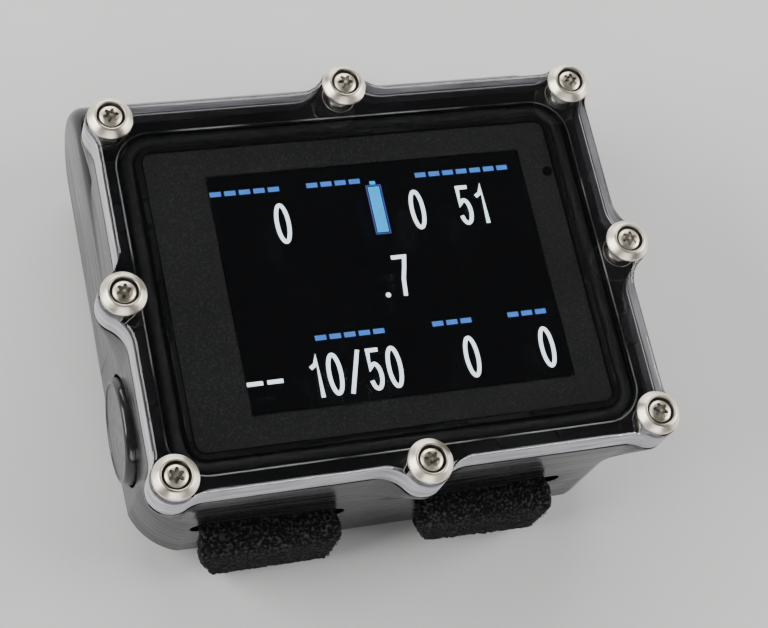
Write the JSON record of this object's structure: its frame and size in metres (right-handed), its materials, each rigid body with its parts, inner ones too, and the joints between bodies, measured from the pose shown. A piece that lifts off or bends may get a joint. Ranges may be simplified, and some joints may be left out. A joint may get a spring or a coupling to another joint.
{
  "type": "dive computer",
  "caption": "Arm-mounted dive computer with a screwed-down clear lid over a rectangular display, side push buttons, a battery tube with a screw cap, and wide fabric straps.",
  "frame": {"origin": "centre of the housing's flat back face", "axes": "+Z out through the display, +X to the display's right, +Y to its top edge"},
  "size_m": [0.0982, 0.0869, 0.0423],
  "materials": {
    "clear_acrylic": "clear polished faces, frosted sawn edges",
    "black_acetal": "machined satin gloss",
    "seal_rubber": "smooth moulded",
    "stainless_steel": "satin turned",
    "insert_brass": "turned",
    "mask_film": "fine speckled texture",
    "screen_glass": "black display behind glass",
    "display_metal": "pressed sheet",
    "circuit_board": "solder mask",
    "chip_plastic": "moulded",
    "cell_jacket": "shrink sleeve",
    "contact_metal": "plated",
    "spring_steel": "drawn wire",
    "button_polymer": "satin moulded",
    "strap_fabric": "brushed loop fabric"
  },
  "bodies": {
    "case": {"housing": "black_acetal", "front_lid": "clear_acrylic", "lid_o_ring": "seal_rubber", "cup_washer_1": "stainless_steel", "lid_screw_1": "stainless_steel", "threaded_insert_1": "insert_brass", "cup_washer_2": "stainless_steel", "lid_screw_2": "stainless_steel", "threaded_insert_2": "insert_brass", "cup_washer_3": "stainless_steel", "lid_screw_3": "stainless_steel", "threaded_insert_3": "insert_brass", "cup_washer_4": "stainless_steel", "lid_screw_4": "stainless_steel", "threaded_insert_4": "insert_brass", "cup_washer_5": "stainless_steel", "lid_screw_5": "stainless_steel", "threaded_insert_5": "insert_brass", "cup_washer_6": "stainless_steel", "lid_screw_6": "stainless_steel", "threaded_insert_6": "insert_brass", "cup_washer_7": "stainless_steel", "lid_screw_7": "stainless_steel", "threaded_insert_7": "insert_brass", "cup_washer_8": "stainless_steel", "lid_screw_8": "stainless_steel", "threaded_insert_8": "insert_brass", "bezel_mask": "mask_film", "display_glass": "screen_glass", "display_frame": "display_metal", "light_sensor": "chip_plastic", "main_board": "circuit_board", "processor_chip": "chip_plastic", "display_connector": "contact_metal", "board_standoff_1": "insert_brass", "board_standoff_2": "insert_brass", "board_standoff_3": "insert_brass", "board_standoff_4": "insert_brass", "battery_cell": "cell_jacket", "battery_contact_plate": "contact_metal", "depth_sensor": "stainless_steel", "sensor_cover": "stainless_steel", "left_button_spring": "spring_steel", "left_button_o_ring": "seal_rubber", "left_button_switch": "contact_metal", "right_button_spring": "spring_steel", "right_button_o_ring": "seal_rubber", "right_button_switch": "contact_metal", "strap_left": "strap_fabric", "strap_right": "strap_fabric"},
    "left_button": {"left_button_cap": "button_polymer", "left_button_clip": "spring_steel"},
    "right_button": {"right_button_cap": "button_polymer", "right_button_clip": "spring_steel"},
    "battery_cap_carriage": {"battery_cap_o_ring": "seal_rubber", "battery_contact_spring": "spring_steel"},
    "battery_cap_turning": {"battery_cap": "black_acetal"}
  },
  "joints": [
    {"name": "left_button_press", "type": "slide", "parent": "case", "child": "left_button", "axis": [1, 0, 0], "range_m": [0, 0.0007], "stiffness_N_per_m": 3000, "springref_m": -0.0005, "deforming": ["left_button_spring"]},
    {"name": "right_button_press", "type": "slide", "parent": "case", "child": "right_button", "axis": [-1, 0, 0], "range_m": [0, 0.0007], "stiffness_N_per_m": 3000, "springref_m": -0.0005, "deforming": ["right_button_spring"]},
    {"name": "cap_travel", "type": "slide", "parent": "case", "child": "battery_cap_carriage", "axis": [1, 0, 0], "range_m": [0, 0.006]},
    {"name": "cap_turn", "type": "hinge", "parent": "battery_cap_carriage", "child": "battery_cap_turning", "pos_m": [0.045, 0.0373, 0.0103], "axis": [1, 0, 0], "range_deg": [0, 1080]}
  ],
  "couplings": [
    {"joint": "cap_turn", "follows": "cap_travel", "rad_per_m": 3141.6}
  ]
}
